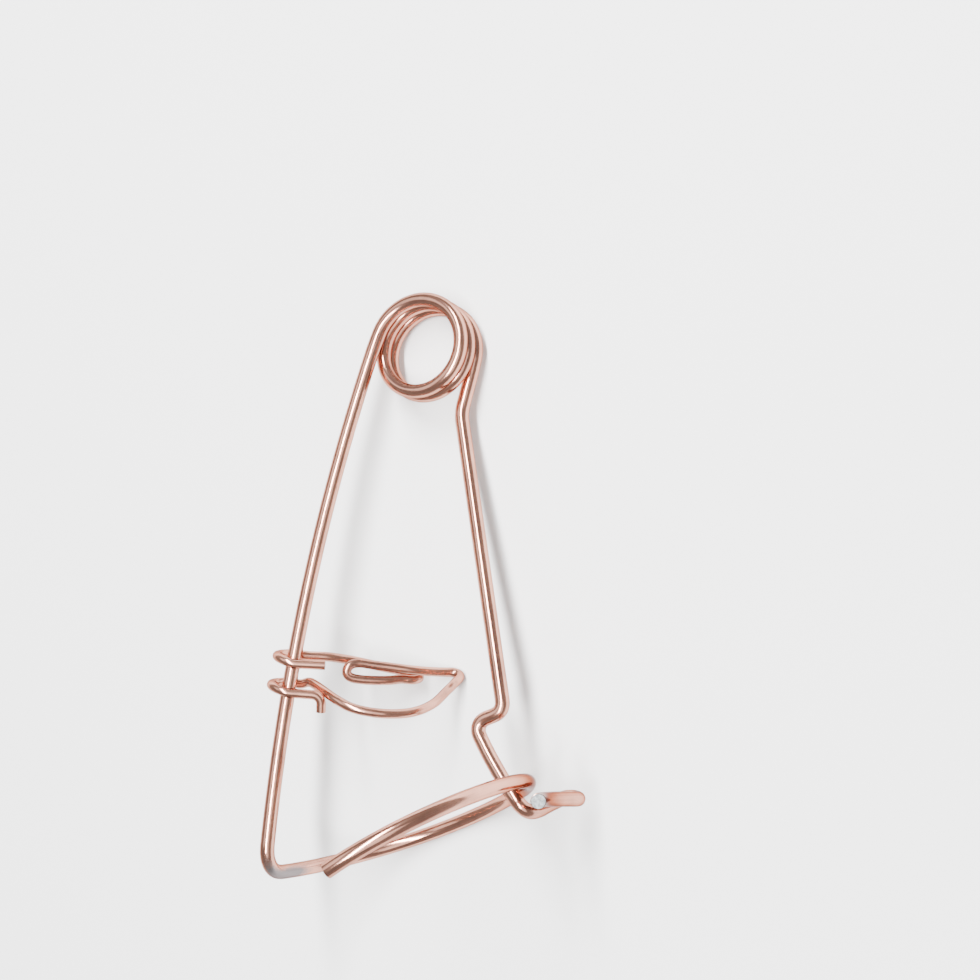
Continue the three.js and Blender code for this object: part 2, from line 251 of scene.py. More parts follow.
# Each arm leaves the coil on its tangent and climbs on for one wire's width.
lead_climb = np.array([0, 0, COIL_PITCH * SPRING_WIRE / (2 * math.pi * COIL_RADIUS)])
arm_root = coil_points(np.array(coil_start)) + bearing(ARM_BEARING) * SPRING_WIRE + lead_climb
claw_root = coil_points(np.array(coil_end)) + bearing(CLAW_ROOT_BEARING) * SPRING_WIRE - lead_climb

ring_corner = bowed_run(arm_root, ARM_LENGTH, ARM_BEARING, ARM_END_BEARING, CORNER_STEPS)[-1]

# The ring's directions: from its centre to its corner, level and square to that, and the two turned
# by its lean, towards the front and along its axis.
ring_side = np.array([math.cos(math.radians(RING_TURN)), math.sin(math.radians(RING_TURN)), 0])
ring_level = np.array([-ring_side[1], ring_side[0], 0])
ring_upright = np.array([0.0, 0.0, 1.0])
ring_lean = math.radians(RING_LEAN)
ring_front = ring_level * math.sin(ring_lean) + ring_upright * math.cos(ring_lean)
ring_axis = ring_level * math.cos(ring_lean) - ring_upright * math.sin(ring_lean)
ring_centre = ring_corner - ring_side * RING_RADIUS


def ring_points(degrees):
    """A circle in the ring's plane, drawn out along the ring's axis by the square of the way past the
    draw's start."""
    angle = np.radians(degrees)[:, None]
    share = np.maximum(0, degrees - RING_DRAW_START)[:, None] / (RING_SWEEP - RING_DRAW_START)
    return (ring_centre + ring_side * RING_RADIUS * np.cos(angle)
            - ring_front * RING_RADIUS * np.sin(angle) + ring_axis * RING_DRAW * share ** 2)


def bar_strand(radius, from_angle, to_angle, from_place, to_place, steps):
    """An arc of the given radius about the claw bar's own centre line, moving evenly along v."""
    angle = np.radians(np.linspace(from_angle, to_angle, steps + 1))
    side = RING_RADIUS * ring_side[0] - ring_centre[0] + BAR_RING_GAP
    place = np.linspace(from_place, to_place, steps + 1)
    return np.stack([radius * np.cos(angle) - BAR_RADIUS - side, place,
                     radius * np.sin(angle) - BAR_AXIS_DEPTH], axis=1)


def spring_wire_route():
    """The spring wire's whole centreline, and the lengths along it at which the coil starts and ends."""
    first = math.degrees(RING_CORNER_RADIUS / RING_RADIUS)
    arc = ring_points(np.linspace(RING_SWEEP, first, RING_POINTS))
    arm_length = ARM_LENGTH - RING_CORNER_RADIUS
    arm_turn = (ARM_END_BEARING - ARM_BEARING) / ARM_LENGTH
    arm_end = ARM_BEARING + arm_turn * arm_length
    arm = bowed_run(arm_root, arm_length, ARM_BEARING, arm_end, ARM_STEPS)[::-1]
    corner = bend_between(arc[-1], unit(arc[-1] - arc[-2]), arm[0], unit(arm[1] - arm[0]),
                          RING_CORNER_RADIUS * QUARTER_HANDLE)
    coil = coil_points(np.linspace(coil_start, coil_end, COIL_POINTS))

    inner_radius = BAR_RADIUS + BAR_STRAND_SPACING
    root_place, far_place, near_place = (
        ring_centre[1] - setback for setback in (BAR_ROOT_SETBACK, BAR_FAR_SETBACK, BAR_NEAR_SETBACK))
    inner = bar_strand(inner_radius, BAR_ROOT_ANGLE, BAR_FAR_ANGLE, root_place, far_place,
                       INNER_STRAND_STEPS)
    outer = bar_strand(BAR_RADIUS, BAR_FAR_ANGLE, BAR_NEAR_ANGLE, far_place, near_place,
                       OUTER_STRAND_STEPS)
    kink = claw_root + bearing(CLAW_ROOT_BEARING) * CLAW_ROOT_LENGTH
    step_shift = bearing(STEP_BEARING) * STEP_LENGTH
    drop_bend = DROP_BEARING + (DROP_END_BEARING - DROP_BEARING) * DROP_SHARE
    drop_shift = bowed_run(step_shift, DROP_LENGTH * DROP_SHARE, DROP_BEARING, drop_bend, DROP_STEPS)
    drop_end = np.array([inner[0][0] + BAR_CORNER_WIDTH, root_place - BAR_CORNER_DROP, claw_root[2]])
    step_top = drop_end - drop_shift[-1]
    drop = step_top + drop_shift
    claw = rounded_line([claw_root, kink, step_top, drop[0], drop[STEP_BEND_ROWS]],
                        [CLAW_KINK_RADIUS, STEP_BEND_RADIUS, STEP_BEND_RADIUS])
    bar_corner = bend_between(drop[-1], unit(drop[-1] - drop[-2]), inner[0], unit(inner[1] - inner[0]),
                              BAR_CORNER_REACH)
    hairpin = bend_between(inner[-1], unit(inner[-1] - inner[-2]), outer[0], unit(outer[1] - outer[0]),
                           BAR_STRAND_SPACING * HALF_HANDLE)
    route = np.vstack([arc, corner[1:-1], arm, coil, claw, drop[STEP_BEND_ROWS + 1:-1], bar_corner,
                       inner[1:], hairpin[1:], outer[1:]])
    lengths = np.r_[0, np.cumsum(np.linalg.norm(np.diff(route, axis=0), axis=1))]
    coil_from = len(arc) + len(corner) - 2 + len(arm) - 1
    coil_to = coil_from + len(coil) + 1
    return route, lengths[coil_from], lengths[coil_to]


# Trigger wire: upper eyelet, tongue, loop and lower eyelet. In its own frame x points outward from
# the arm, y towards the coil and z towards the front, in millimetres. A row of shares is taken of a
# reach and of the trigger's half width and half depth. The reach is the trigger's own, or for the
# lead back to the lower eyelet the stub's reach and a clearance.

TRIGGER_PLACE = 83.0
TRIGGER_HANG = 31.5
SLIDE_MIDDLE = 12.0
EYELET_RADIUS = 4.3
EYELET_SEAT_GAP = 0.5
EYELET_SPACING = 7.1
EYELET_RISE = 2.8
EYELET_REACH = 7.8
EYELET_LIFT = 1.1
EYELET_LEAD = 2.6
NEAR_LEAD_LIFT = 0.6
STUB_BEND_RADIUS = 2.2
STUB_REACH = 8.3
STUB_LIFT = 0.9
STUB_LENGTH = 4.0
STUB_SPLAY = 0.6
STUB_DROOP = 1.0
TRIGGER_REACH = 41.4
TRIGGER_HALF_WIDTH = 6.7
TRIGGER_HALF_DEPTH = 8.0
LEAD_CLEARANCE = 4.3
TONGUE_SHARES = [
    (0.185, 0.84, -0.61), (0.340, 0.88, -0.82), (0.530, 0.85, -0.98), (0.665, 0.85, -1.07),
    (0.724, 0.84, -1.09), (0.750, 0.72, -0.98), (0.718, 0.60, -0.85), (0.645, 0.54, -0.77),
    (0.568, 0.40, -0.65), (0.410, 0.24, -0.53), (0.335, 0.26, -0.47), (0.314, 0.40, -0.43),
    (0.318, 0.60, -0.41), (0.350, 0.78, -0.45),
]
LOOP_SHARES = [
    (0.500, 0.86, -0.56), (0.672, 0.92, -0.63), (0.788, 0.99, -0.76), (0.885, 1.08, -0.90),
    (0.947, 1.14, -0.95), (0.985, 1.06, -0.83), (0.955, 0.70, -0.46), (0.917, 0.37, -0.24),
    (0.850, -0.17, 0.28), (0.741, -0.60, 0.71), (0.567, -0.85, 1.00), (0.396, -0.85, 0.97),
]
LEAD_SHARES = [(1.0, -0.69, 0.76), (0.746, -0.49, 0.38), (0.532, -0.30, -0.04), (0.352, -0.20, -0.34)]


def eyelet_turn(front_place, back_place):
    """Half a circle round the arm, from its front past its outer side to its back, climbing evenly."""
    share = np.linspace(0, 1, EYELET_POINTS)
    angle = math.pi * share
    return np.stack([-EYELET_RADIUS * np.sin(angle), front_place + (back_place - front_place) * share,
                     EYELET_RADIUS * np.cos(angle)], axis=1)


def trigger_wire_route():
    """The trigger wire's whole centreline in the trap's own frame."""
    front = (EYELET_SPACING - EYELET_RISE) / 2
    back = (EYELET_SPACING + EYELET_RISE) / 2
    lead_reach = STUB_REACH + LEAD_CLEARANCE
    controls = np.vstack([
        (0, back, -EYELET_RADIUS),
        (EYELET_LEAD, back, -EYELET_RADIUS),
        np.array(TONGUE_SHARES + LOOP_SHARES) * (TRIGGER_REACH, TRIGGER_HALF_WIDTH, TRIGGER_HALF_DEPTH),
        np.array(LEAD_SHARES) * (lead_reach, TRIGGER_HALF_WIDTH, TRIGGER_HALF_DEPTH),
        (EYELET_LEAD, -front, NEAR_LEAD_LIFT - EYELET_RADIUS),
        (0, -front, -EYELET_RADIUS),
    ])
    upper = np.vstack([(EYELET_REACH, front + EYELET_LIFT, EYELET_RADIUS), eyelet_turn(front, back)])
    lower = eyelet_turn(-back, -front)[::-1]
    stub_bend = np.array([STUB_REACH, STUB_LIFT - back, EYELET_RADIUS])
    stub_end = stub_bend + [STUB_SPLAY, -STUB_LENGTH, -STUB_DROOP]
    stub = rounded_line([lower[-1], stub_bend, stub_end], [STUB_BEND_RADIUS])
    local = np.vstack([upper, smooth_route(controls)[1:-1], lower, stub[1:]])

    turn = (ARM_END_BEARING - ARM_BEARING) / ARM_LENGTH
    place_bearing = ARM_BEARING + turn * TRIGGER_PLACE
    seat = bowed_run(arm_root, TRIGGER_PLACE, ARM_BEARING, place_bearing, SEAT_STEPS)[-1]
    coilward = -bearing(place_bearing - turn * SLIDE_MIDDLE)
    hang = math.radians(TRIGGER_HANG)
    outward = np.array([-math.cos(hang), 0, -math.sin(hang)])
    outward = unit(outward - outward.dot(coilward) * coilward)
    frontward = np.cross(outward, coilward)
    drop = EYELET_RADIUS - (SPRING_WIRE + TRIGGER_WIRE) / 2 - EYELET_SEAT_GAP
    return seat - frontward * drop + local @ np.stack([outward, coilward, frontward])


# A wire's surface. A cut end has a flat disc and a narrow chamfer round it. The chamfer's width is in
# millimetres, and shares are of the wire's radius. Where the share steps by more than the last of
# them, the surface is creased.

DISC_SHARE = 0.55
CHAMFER_SHARE = 0.91
CHAMFER_WIDTH = 0.06
CREASE_SHARE = 0.02

# A direction that neither wire starts along.
GUIDE = (0.31, 0.17, 0.93)


class Wire:
    """A round wire along a centreline, kept whole so that stretches cut from it meet without a seam.

    Row i of the surface is centre[i] + r (cos(a) across[i] + sin(a) upright[i]) for a from 0 to a
    full turn, where r is half the diameter, across is carried along without twisting and upright is
    travel x across. The first across is square to the travel and to the guide.
    """

    def __init__(self, route, diameter, sides, spacing, softness):
        self.centre, self.along = evenly_spaced(route, spacing, softness)
        self.radius = diameter / 2
        self.sides = sides
        self.travel = unit(np.gradient(self.centre, self.along, axis=0))
        start = unit(np.cross(self.travel[0], GUIDE))
        self.across = np.array(list(accumulate(self.travel[1:], squared_to, initial=start)))
        self.upright = np.cross(self.travel, self.across)
        turning = np.gradient(self.travel, self.along, axis=0)
        self.bend = np.clip(np.linalg.norm(turning, axis=1) * self.radius, 0, 1)
        self.worn = np.zeros((len(self.centre), 3))

    def index(self, length):
        """The row nearest to a length along the wire."""
        return int(np.abs(self.along - length).argmin())

    def wear(self, length, reach, facing):
        """Marks the side that faces a direction as worn, by exp(-(distance / reach)^2) along the wire."""
        self.worn += np.exp(-((self.along - length) / reach) ** 2)[:, None] * facing

    def stretch(self, name, first=0, last=None, cut_start=False, cut_end=False):
        """A closed mesh object of the rows first to last. Its ends are flat; a cut end is chamfered."""
        last = len(self.centre) - 1 if last is None else last
        rows, shares, shift, cut = finished_rows(first, last, cut_start, cut_end)

        angle = np.arange(self.sides) * 2 * math.pi / self.sides
        circle = np.stack([np.cos(angle), np.sin(angle)], axis=1)
        rim = (circle[None, :, 0, None] * self.across[rows][:, None]
               + circle[None, :, 1, None] * self.upright[rows][:, None])
        centre = self.centre[rows] + self.travel[rows] * shift[:, None]
        surface = centre[:, None] + rim * (self.radius * shares)[:, None, None]
        poles = centre[[0, -1]]
        points = placed(np.vstack([surface.reshape(-1, 3), poles]))

        count = len(rows)
        here = np.arange(count * self.sides).reshape(count, self.sides)
        beside = np.roll(here, -1, axis=1)
        quads = np.stack([here[:-1], beside[:-1], beside[1:], here[1:]], axis=-1).reshape(-1, 4)
        pole = count * self.sides
        start_fan = np.stack([beside[0], here[0], np.full(self.sides, pole)], axis=-1)
        end_fan = np.stack([here[-1], beside[-1], np.full(self.sides, pole + 1)], axis=-1)
        mesh = bpy.data.meshes.new(name)
        mesh.from_pydata(points, [], quads.tolist() + start_fan.tolist() + end_fan.tolist())

        pattern = np.zeros((count * self.sides + 2, 3))
        pattern[:-2, :2] = np.tile(circle, (count, 1)) * np.repeat(shares, self.sides)[:, None]
        pattern[:-2, 2] = np.repeat(self.along[rows], self.sides) * MILLIMETRE
        pattern[-2:, 2] = self.along[rows[[0, -1]]] * MILLIMETRE
        add_attribute(mesh, "wire_pattern", "FLOAT_VECTOR", pattern)
        add_attribute(mesh, "wire_bend", "FLOAT", np.r_[np.repeat(self.bend[rows], self.sides), 0, 0])
        add_attribute(mesh, "wire_cut", "FLOAT", np.r_[np.repeat(cut, self.sides), 1, 1])
        worn = np.clip((rim * self.worn[rows][:, None]).sum(axis=2), 0, 1)
        add_attribute(mesh, "wire_worn", "FLOAT", np.r_[worn.ravel(), 0, 0])

        mesh.shade_smooth()
        stepped = np.flatnonzero(np.abs(np.diff(shares)) > CREASE_SHARE)
        creased = np.r_[stepped, stepped + 1, 0, count - 1]
        edge_rows = np.empty(len(mesh.edges) * 2, int)
        mesh.edges.foreach_get("vertices", edge_rows)
        edge_rows = edge_rows.reshape(-1, 2) // self.sides
        sharp = (edge_rows[:, 0] == edge_rows[:, 1]) & np.isin(edge_rows[:, 0], creased)
        mesh.attributes.new("sharp_edge", "BOOLEAN", "EDGE").data.foreach_set("value", sharp)
        made = bpy.data.objects.new(name, mesh)
        bpy.context.scene.collection.objects.link(made)
        return made


def squared_to(across, travel):
    """The direction across, made square to the direction of travel."""
    return unit(across - across.dot(travel) * travel)


def finished_rows(first, last, cut_start, cut_end):
    """The rows first to last, with the two rows of a chamfer and its disc added at each cut end. Gives
    each row's place in the wire, its share of the radius, its shift along and how far it is cut."""
    rows = np.arange(first, last + 1)
    shares = np.ones(len(rows))
    shift = np.zeros(len(rows))
    cut = np.zeros(len(rows))
    if cut_start:
        rows = np.r_[first, first, rows]
        shares = np.r_[DISC_SHARE, CHAMFER_SHARE, shares]
        shift = np.r_[0.0, 0.0, CHAMFER_WIDTH, shift[1:]]
        cut = np.r_[1.0, 1.0, cut]
    if cut_end:
        rows = np.r_[rows, last, last]
        shares = np.r_[shares, CHAMFER_SHARE, DISC_SHARE]
        shift = np.r_[shift[:-1], -CHAMFER_WIDTH, 0.0, 0.0]
        cut = np.r_[cut, 1.0, 1.0]
    return rows, shares, shift, cut


def add_attribute(mesh, name, kind, values):
    """Stores one number or vector for each vertex."""
    attribute = mesh.attributes.new(name, kind, "POINT")
    field = "vector" if kind == "FLOAT_VECTOR" else "value"
    attribute.data.foreach_set(field, np.asarray(values, np.float32).ravel())


# Finishes. Streaks, hairlines and waves are scaled across the wire and along it, tarnish and grain
# over the object. The other numbers are what each mark adds to the browning, the grey, the roughness
# and the bump, whose depth is in metres.

STREAK_SCALES = (9.0, 60.0)
HAIRLINE_SCALES = (26.0, 160.0)
WAVE_SCALES = (1.6, 170.0)
TARNISH_SCALE = 90.0
GRAIN_SCALE = 1500.0

TARNISH_BROWN = 0.55
STREAK_BROWN = 0.45
BURNISH_BROWN = 0.2
RUBBED_COVER = 0.95
DULL_STEEL = 0.5

WORN_LEVEL = 0.75
WORN_GRAIN = 0.8

STREAK_ROUGHNESS = 0.08
BURNISH_ROUGHNESS = 0.05
RUBBED_ROUGHNESS = 0.24
CUT_ROUGHNESS = 0.25

HAIRLINE_HEIGHT = 0.5
STREAK_HEIGHT = 0.6
WAVE_HEIGHT = 3.0
GRAIN_HEIGHT = 0.1
CUT_GRAIN_HEIGHT = 0.9
RUBBED_GRAIN_HEIGHT = 1.6
BUMP_STRENGTH = 0.14
BUMP_DEPTH = 0.00004


class Signal:
    """A number, colour or vector that leaves a node. Sums and products of numbers add Math nodes."""

    def __init__(self, finish, socket):
        self.finish = finish
        self.socket = socket

    def combine(self, operation, other, clamp=False):
        """A Math node on this number and another."""
        settings = {"operation": operation, "use_clamp": clamp}
        return self.finish.node("ShaderNodeMath", settings, {0: self, 1: other})

    def __add__(self, other):
        return self.combine("ADD", other)

    def __mul__(self, other):
        return self.combine("MULTIPLY", other)

    __radd__ = __add__
    __rmul__ = __mul__

    def clamped(self):
        """The number held between 0 and 1."""
        return self.combine("ADD", 0.0, clamp=True)


class Finish:
    """A material being made, with one method that adds a node."""

    def __init__(self, name):
        self.material = bpy.data.materials.new(name)
        self.material.use_nodes = True
        self.tree = self.material.node_tree
        self.tree.nodes.clear()

    def node(self, kind, settings=None, values=None, output=0):
        """Adds a node, sets its settings, then gives its sockets their values or links."""
        made = self.tree.nodes.new(kind)
        for name, value in (settings or {}).items():
            if name == "stops":
                set_stops(made.color_ramp, value)
            else:
                setattr(made, name, value)
        for name, value in (values or {}).items():
            socket = made.inputs[name]
            if isinstance(value, Signal):
                self.tree.links.new(value.socket, socket)
            else:
                socket.default_value = value
        return None if output is None else Signal(self, made.outputs[output])

    def attribute(self, name, output):
        """What the mesh stores under this name."""
        return self.node("ShaderNodeAttribute", {"attribute_name": name}, output=output)

    def mix(self, factor, first, second):
        """Colour first where the factor is 0, second where it is 1."""
        sockets = {0: factor, 6: first, 7: second}
        return self.node("ShaderNodeMix", {"data_type": "RGBA"}, sockets, output=2)

    def ramp(self, value, *stops):
        """A number read off a ramp of (place, number) stops."""
        return self.node("ShaderNodeValToRGB", {"stops": stops}, {0: value})

    def stretched(self, vector, scales):
        """The pattern's vector scaled across the wire and along it."""
        across, along = scales
        sockets = {0: vector, 1: (across, across, along)}
        return self.node("ShaderNodeVectorMath", {"operation": "MULTIPLY"}, sockets)

    def noise(self, place, scale, detail, roughness):
        """Cloudy noise of this scale at a place."""
        sockets = {"Vector": place, "Scale": scale, "Detail": detail, "Roughness": roughness}
        return self.node("ShaderNodeTexNoise", None, sockets)

    def surface(self, **values):
        """Ends the material in a Principled BSDF; keywords name its sockets, with _ for a space."""
        named = {name.replace("_", " "): value for name, value in values.items()}
        shader = self.node("ShaderNodeBsdfPrincipled", None, named)
        self.node("ShaderNodeOutputMaterial", None, {"Surface": shader}, output=None)
        return self.material


def set_stops(ramp, stops):
    """Gives a colour ramp exactly these (place, number) stops."""
    while len(ramp.elements) > len(stops):
        ramp.elements.remove(ramp.elements[-1])
    while len(ramp.elements) < len(stops):
        ramp.elements.new(1.0)
    for element, (place, level) in zip(ramp.elements, stops):
        element.position = place
        element.color = (level, level, level, 1.0)


def opaque(colour):
    """The colour with an alpha of 1."""
    return (*colour, 1.0)


def copper_plating(name, look, gloss):
    """Bright plating on drawn wire: fine drawing marks along the wire, a browner burnish in the bends,
    one side of the ring's corner rubbed to grey by the bending tool, and mottled steel on the cut
    ends."""
    finish = Finish(name)
    pattern = finish.attribute("wire_pattern", "Vector")
    bend = finish.attribute("wire_bend", "Fac")
    cut = finish.attribute("wire_cut", "Fac")
    worn = finish.attribute("wire_worn", "Fac")
    place = finish.node("ShaderNodeTexCoord", output="Object")

    # The stretched patterns carry their own scales, so their noise has a scale of 1.
    streaks = finish.noise(finish.stretched(pattern, STREAK_SCALES), 1.0, 4.0, 0.6)
    hairlines = finish.noise(finish.stretched(pattern, HAIRLINE_SCALES), 1.0, 2.0, 0.7)
    waves = finish.noise(finish.stretched(pattern, WAVE_SCALES), 1.0, 3.0, 0.5)
    tarnish = finish.noise(place, TARNISH_SCALE, 5.0, 0.6)
    grain = finish.noise(place, GRAIN_SCALE, 4.0, 0.65)

    burnish = finish.ramp(bend, (0.05, 0.0), (0.5, 1.0))
    tarnished = finish.ramp(tarnish, (0.42, 0.0), (0.66, 1.0))
    streaked = finish.ramp(streaks, (0.45, 0.0), (0.7, 1.0))
    browning = tarnished * TARNISH_BROWN + streaked * STREAK_BROWN + burnish * BURNISH_BROWN
    rubbed = finish.ramp(worn * (WORN_LEVEL + WORN_GRAIN * grain), (0.32, 0.0), (0.6, 1.0))
    sheared = finish.ramp(grain, (0.4, 0.0), (0.6, 1.0))
    dull_steel = opaque([DULL_STEEL * part for part in look.steel])
    colour = finish.mix(browning.clamped(), opaque(look.bright), opaque(look.brown))
    colour = finish.mix(rubbed * RUBBED_COVER, colour, opaque(look.worn))
    colour = finish.mix(cut, colour, finish.mix(sheared, opaque(look.steel), dull_steel))

    roughness = (gloss + STREAK_ROUGHNESS * streaks + BURNISH_ROUGHNESS * burnish
                 + RUBBED_ROUGHNESS * rubbed + CUT_ROUGHNESS * cut).clamped()
    grain_height = GRAIN_HEIGHT + CUT_GRAIN_HEIGHT * cut + RUBBED_GRAIN_HEIGHT * rubbed
    height = (hairlines * HAIRLINE_HEIGHT + streaks * STREAK_HEIGHT + waves * WAVE_HEIGHT
              + grain * grain_height)
    bump = {"Strength": BUMP_STRENGTH, "Distance": BUMP_DEPTH, "Height": height}
    normal = finish.node("ShaderNodeBump", None, bump)
    return finish.surface(Base_Color=colour, Metallic=1.0, Roughness=roughness, Normal=normal,
                          Specular_Tint=opaque(look.edge))


# Sizes and colours that a user would change.


class WireProperties(PropertyGroup):
    """How finely the wires are made. Lengths are in millimetres."""
    sides: IntProperty(
        name="Sides", description="Faces round each wire", default=32, min=8, max=96)
    spacing: FloatProperty(
        name="Row spacing", description="Distance between rows of faces, in millimetres",
        default=0.5, min=0.1, max=3.0)
    softness: FloatProperty(
        name="Bend softness", description="How far a bend's ends are eased, in millimetres",
        default=1.5, min=0.0, max=4.0)


class CopperProperties(PropertyGroup):
    """The wires' colours and their roughness."""
    bright: FloatVectorProperty(
        name="Bright copper", description="Plating at its brightest",
        subtype="COLOR", size=3, min=0, max=1, default=(0.62, 0.31, 0.225))
    brown: FloatVectorProperty(
        name="Burnished copper", description="Plating along the drawing marks and bends",
        subtype="COLOR", size=3, min=0, max=1, default=(0.34, 0.17, 0.13))
    edge: FloatVectorProperty(
        name="Edge tint", description="What the plating's far edges keep of the light",
        subtype="COLOR", size=3, min=0, max=1, default=(0.34, 0.24, 0.23))
    worn: FloatVectorProperty(
        name="Worn plating", description="Where the bending tool rubbed the plating",
        subtype="COLOR", size=3, min=0, max=1, default=(0.19, 0.18, 0.185))
    steel: FloatVectorProperty(
        name="Cut steel", description="The wires' cut ends",
        subtype="COLOR", size=3, min=0, max=1, default=(0.24, 0.255, 0.26))
    gloss: FloatProperty(
        name="Roughness", description="Roughness of clean plating",
        subtype="FACTOR", default=0.12, min=0.02, max=1.0)


class StageProperties(PropertyGroup):
    """The floor, the lamps and the camera."""
    floor: FloatVectorProperty(
        name="Floor", description="Colour of the floor",
        subtype="COLOR", size=3, min=0, max=1, default=(0.9, 0.9, 0.9))
    floor_width: FloatProperty(
        name="Floor width", description="Width of the floor", unit="LENGTH", default=6.0)
    key_power: FloatProperty(
        name="Key light", description="Power of the narrow main lamp", unit="POWER", default=58.0)
    panel_power: FloatProperty(
        name="Soft panel", description="Power of the dim panel behind the camera",
        unit="POWER", default=2.8)
    high_power: FloatProperty(
        name="High panel", description="Power of the dim panel up to the left",
        unit="POWER", default=1.8)
    focal_length: FloatProperty(
        name="Focal length", description="Camera focal length", unit="CAMERA", default=64.24)


# The pieces, with lengths in millimetres: how far the worn patch reaches from the ring's corner and
# the way it faces, and how the thinner trigger wire is spaced, eased and dulled.

WORN_REACH = 8.0
WORN_FACING = unit([-0.5, 0.26, 0.82])
TRIGGER_SPACING_SHARE = 0.6
TRIGGER_SOFTNESS = 0.6
TRIGGER_DULLING = 0.03


def spring_wire(properties):
    """The whole spring wire and the rows at which its coil starts and ends."""
    route, coil_from, coil_to = spring_wire_route()
    wire = Wire(route, SPRING_WIRE, properties.sides, properties.spacing, properties.softness)
    wire.wear(math.radians(RING_SWEEP) * RING_RADIUS - RING_CORNER_RADIUS, WORN_REACH, WORN_FACING)
    scale = wire.along[-1] / np.linalg.norm(np.diff(route, axis=0), axis=1).sum()
    return wire, wire.index(coil_from * scale), wire.index(coil_to * scale)


def plated(made, name, look, gloss):
    """Gives a wire its copper finish, made once for each name."""
    material = bpy.data.materials.get(name) or copper_plating(name, look, gloss)
    made.data.materials.append(material)


class TRAP_OT_ring_and_arm(Operator):
    """Make the ring, its free end and the ring arm, up to the coil"""
    bl_idname = "mole_trap.ring_and_arm"
    bl_label = "Ring and arm"

    def execute(self, context):
        wire, coil_from, _ = spring_wire(context.scene.trap_wire)
        made = wire.stretch("ring_and_arm_wire", 0, coil_from, cut_start=True)
        look = context.scene.trap_copper
        plated(made, "spring_wire_plating", look, look.gloss)
        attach(made, "frame_wire")
        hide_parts("trap_ring", "ring_arm")
        return {"FINISHED"}


class TRAP_OT_coil(Operator):
    """Make the coil, which twists evenly from the ring arm's end to the claw arm's"""
    bl_idname = "mole_trap.coil"
    bl_label = "Coil"

    def execute(self, context):
        wire, coil_from, coil_to = spring_wire(context.scene.trap_wire)
        made = wire.stretch("coil_wire", coil_from, coil_to)
        look = context.scene.trap_copper
        plated(made, "spring_wire_plating", look, look.gloss)
        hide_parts("spring_coil")
        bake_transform(made)
        return {"FINISHED"}


class TRAP_OT_claw(Operator):
    """Make the claw arm, its catch step and the claw bar with its free end"""
    bl_idname = "mole_trap.claw"
    bl_label = "Claw"

    def execute(self, context):
        wire, _, coil_to = spring_wire(context.scene.trap_wire)
        made = wire.stretch("claw_wire", coil_to, cut_end=True)
        look = context.scene.trap_copper
        plated(made, "spring_wire_plating", look, look.gloss)
        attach(made, "claw")
        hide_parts("claw_arm", "catch_step", "claw_bar")
        return {"FINISHED"}


class TRAP_OT_trigger(Operator):
    """Make the trigger: two eyelets round the ring arm, the tongue and the loop, in one wire"""
    bl_idname = "mole_trap.trigger"
    bl_label = "Trigger"

    def execute(self, context):
        properties = context.scene.trap_wire
        wire = Wire(trigger_wire_route(), TRIGGER_WIRE, properties.sides,
                    properties.spacing * TRIGGER_SPACING_SHARE, TRIGGER_SOFTNESS)
        made = wire.stretch("trigger_wire", cut_start=True, cut_end=True)
        look = context.scene.trap_copper
        plated(made, "trigger_wire_plating", look, look.gloss + TRIGGER_DULLING)
        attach(made, "trigger")
        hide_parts("upper_eyelet", "trigger_tongue", "trigger_loop", "lower_eyelet")
        return {"FINISHED"}


# Each lamp's place from the lit middle, along the camera's right, up and backward directions, and its
# width and height, in metres.
LIT_MIDDLE = np.array([0.0, 0.0, 0.02])
LAMPS = {
    "key_light": ((-0.31, 0.33, 0.89), (0.12, 1.3)),
    "soft_panel": ((0.09, -0.1, 0.99), (0.5, 0.8)),
    "high_panel": ((-0.82, 0.34, 0.5), (0.42, 0.7)),
}
ROOM_TONES = [(0.0, 0.75), (0.35, 0.55), (0.7, 0.4), (1.0, 0.36)]
FLOOR_ROUGHNESS = 0.9


def area_light(name, directions, power):
    """A rectangular lamp that faces the lit middle, with its width turned to the camera's right."""
    place, size = LAMPS[name]
    centre = LIT_MIDDLE + np.array(place) @ directions
    backward = unit(centre - LIT_MIDDLE)
    across = squared_to(directions[0], backward)
    lamp = bpy.data.lights.new(name, "AREA")
    lamp.shape = "RECTANGLE"
    lamp.size, lamp.size_y = size
    lamp.energy = power
    made = bpy.data.objects.new(name, lamp)
    made.matrix_world = axes_at(centre, across, np.cross(backward, across), backward)
    bpy.context.scene.collection.objects.link(made)


def axes_at(centre, *axes):
    """The matrix of an object whose own x, y and z run along the three axes."""
    matrix = np.eye(4)
    matrix[:3, :3] = np.stack(axes, axis=1)
    matrix[:3, 3] = centre
    return Matrix(matrix.tolist())


def soft_room():
    """A dim ceiling that brightens towards pale walls."""
    world = bpy.data.worlds.new("soft_room")
    world.use_nodes = True
    nodes, links = world.node_tree.nodes, world.node_tree.links
    direction = nodes.new("ShaderNodeTexCoord")
    height = nodes.new("ShaderNodeSeparateXYZ")
    ramp = nodes.new("ShaderNodeValToRGB")
    set_stops(ramp.color_ramp, ROOM_TONES)
    links.new(direction.outputs["Generated"], height.inputs[0])
    links.new(height.outputs["Z"], ramp.inputs[0])
    links.new(ramp.outputs[0], nodes["Background"].inputs["Color"])
    return world


# How the trap lies before the camera: its own axes u, v and w and its coil's centre, each as (right,
# up, towards the camera), with the camera at a height above the origin. Lengths are in millimetres.
VIEW_AXES = unit([[-0.8815, 0.0, -0.4722], [-0.0991, -0.9777, 0.1850], [-0.4617, 0.2098, 0.8618]])
VIEW_COIL_CENTRE = np.array([-15.888, 35.023, 16.0])
VIEW_HEIGHT = 450.0
SENSOR_WIDTH = 36.0

# How near and how far the camera sees, in metres.
NEAREST_VIEW = 0.01
FARTHEST_VIEW = 20.0


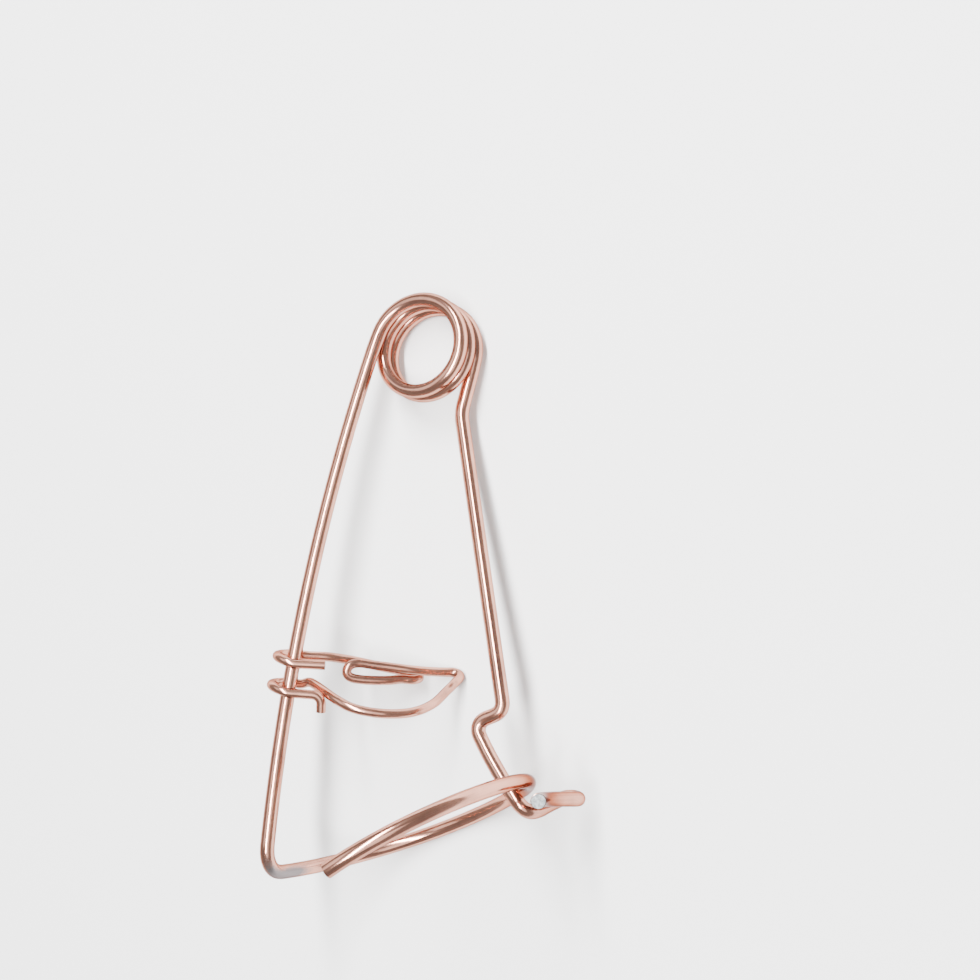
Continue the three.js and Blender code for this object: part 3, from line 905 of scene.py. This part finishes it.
def camera_matrix():
    """Where the camera stands in the row frame, and its right, up and backward directions there."""
    offset = VIEW_AXES @ (np.array([0, 0, VIEW_HEIGHT]) - VIEW_COIL_CENTRE)
    directions = VIEW_AXES.T @ TRAP_AXES
    right = unit(directions[0])
    back = unit(directions[2] - directions[2].dot(right) * right)
    return axes_at(placed(offset), right, np.cross(back, right), back)


class TRAP_OT_stage(Operator):
    """Make the floor, the soft lights and the camera"""
    bl_idname = "mole_trap.stage"
    bl_label = "Stage"

    def execute(self, context):
        stage = context.scene.trap_stage
        half = stage.floor_width / 2
        mesh = bpy.data.meshes.new("floor")
        corners = [(-half, -half, 0), (half, -half, 0), (half, half, 0), (-half, half, 0)]
        mesh.from_pydata(corners, [], [(0, 1, 2, 3)])
        floor = bpy.data.objects.new("floor", mesh)
        context.scene.collection.objects.link(floor)
        finish = Finish("matt_floor")
        mesh.materials.append(finish.surface(Base_Color=opaque(stage.floor), Roughness=FLOOR_ROUGHNESS))

        camera = bpy.data.objects.new("camera", bpy.data.cameras.new("camera"))
        camera.data.sensor_width = SENSOR_WIDTH
        camera.data.lens = stage.focal_length
        camera.data.clip_start = NEAREST_VIEW
        camera.data.clip_end = FARTHEST_VIEW
        camera.matrix_world = camera_matrix()
        context.scene.collection.objects.link(camera)
        context.scene.camera = camera

        # The rows are the camera's right, up and backward directions.
        directions = np.array(camera.matrix_world)[:3, :3].T
        area_light("key_light", directions, stage.key_power)
        area_light("soft_panel", directions, stage.panel_power)
        area_light("high_panel", directions, stage.high_power)
        context.scene.world = soft_room()
        return {"FINISHED"}


class TRAP_PT_panel(Panel):
    """Lists the pieces of the trap"""
    bl_label = "Mole trap"
    bl_idname = "TRAP_PT_panel"
    bl_space_type = "VIEW_3D"
    bl_region_type = "UI"
    bl_category = "Mole trap"

    def draw(self, context):
        for group in GROUPS:
            settings = getattr(context.scene, group)
            box = self.layout.box()
            for name in settings.__annotations__:
                box.prop(settings, name)
        for operator in OPERATORS:
            self.layout.operator(operator.bl_idname)


OPERATORS = (TRAP_OT_ring_and_arm, TRAP_OT_coil, TRAP_OT_claw, TRAP_OT_trigger, TRAP_OT_stage)
GROUPS = {"trap_wire": WireProperties, "trap_copper": CopperProperties, "trap_stage": StageProperties}


def register():
    """Adds the settings, the operators and the panel."""
    for each in (*GROUPS.values(), *OPERATORS, TRAP_PT_panel):
        bpy.utils.register_class(each)
    for name, group in GROUPS.items():
        setattr(bpy.types.Scene, name, PointerProperty(type=group))


def unregister():
    """Takes the panel, the operators and the settings away again."""
    for name in GROUPS:
        delattr(bpy.types.Scene, name)
    for each in (TRAP_PT_panel, *OPERATORS, *GROUPS.values()):
        bpy.utils.unregister_class(each)


def main():
    """Builds the trap and its stage."""
    register()
    bpy.ops.mole_trap.ring_and_arm()
    bpy.ops.mole_trap.coil()
    bpy.ops.mole_trap.claw()
    bpy.ops.mole_trap.trigger()
    bpy.ops.mole_trap.stage()


if __name__ == "__main__":
    main()
